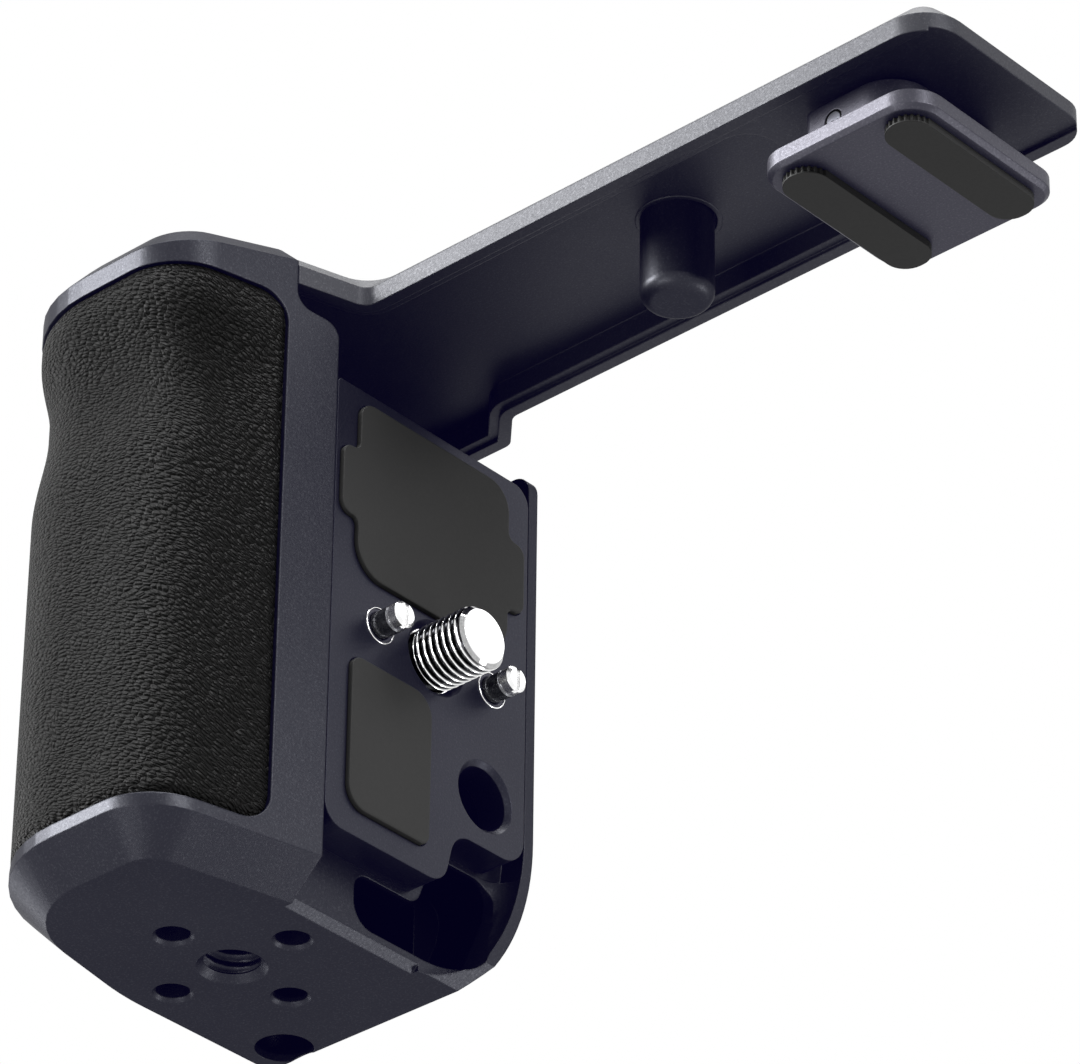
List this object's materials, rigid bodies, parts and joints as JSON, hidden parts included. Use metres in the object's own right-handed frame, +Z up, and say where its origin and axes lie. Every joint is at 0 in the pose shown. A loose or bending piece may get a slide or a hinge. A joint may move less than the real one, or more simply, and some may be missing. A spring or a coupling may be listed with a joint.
{
  "type": "camera hand grip",
  "caption": "Side hand grip with a leather-faced body, a camera screw and locating pins on its mating face, and an over-arm with a shutter plunger and a shoe foot.",
  "frame": {"origin": "where the axis of the camera screw meets the mating plane of the side plate", "axes": "+X out of the mating face along the arm, +Y from the camera's lens side to its rear, +Z up"},
  "size_m": [0.0989, 0.0465, 0.0726],
  "materials": {
    "anodised": "bead-blasted dark anodised aluminium",
    "plate": "bead-blasted dark anodised aluminium",
    "leather": "pebbled charcoal leather",
    "rubber": "matte dark grey rubber",
    "steel": "turned steel",
    "chrome": "bright plated steel"
  },
  "bodies": {
    "grip": {"grip_shell": "anodised", "leather_wrap": "leather", "side_plate": "plate", "pad_upper": "rubber", "pad_lower": "rubber", "plate_screws": "steel", "screw_washer": "steel", "pin_front": "chrome", "pin_rear": "chrome", "top_arm": "anodised", "arm_screws": "steel", "plunger_bush": "anodised", "plunger_spring": "steel"},
    "screw": {"camera_screw": "chrome", "screw_clip": "steel"},
    "plunger": {"shutter_plunger": "anodised", "plunger_button": "anodised"},
    "shoe": {"shoe_foot": "anodised", "shoe_pivot": "steel", "strip_inner": "rubber", "strip_outer": "rubber"}
  },
  "joints": [
    {"name": "screw_turn", "type": "hinge", "parent": "grip", "child": "screw", "pos_m": [0, 0, 0], "axis": [1, 0, 0], "continuous": true},
    {"name": "plunger_press", "type": "slide", "parent": "grip", "child": "plunger", "axis": [0, 0, -1], "range_m": [0, 0.0015], "stiffness_N_per_m": 800, "springref_m": -0.001, "deforming": ["plunger_spring"]},
    {"name": "shoe_tilt", "type": "hinge", "parent": "grip", "child": "shoe", "pos_m": [0.0544, 0, 0.0304], "axis": [0, 1, 0], "range_deg": [-3, 3]}
  ]
}
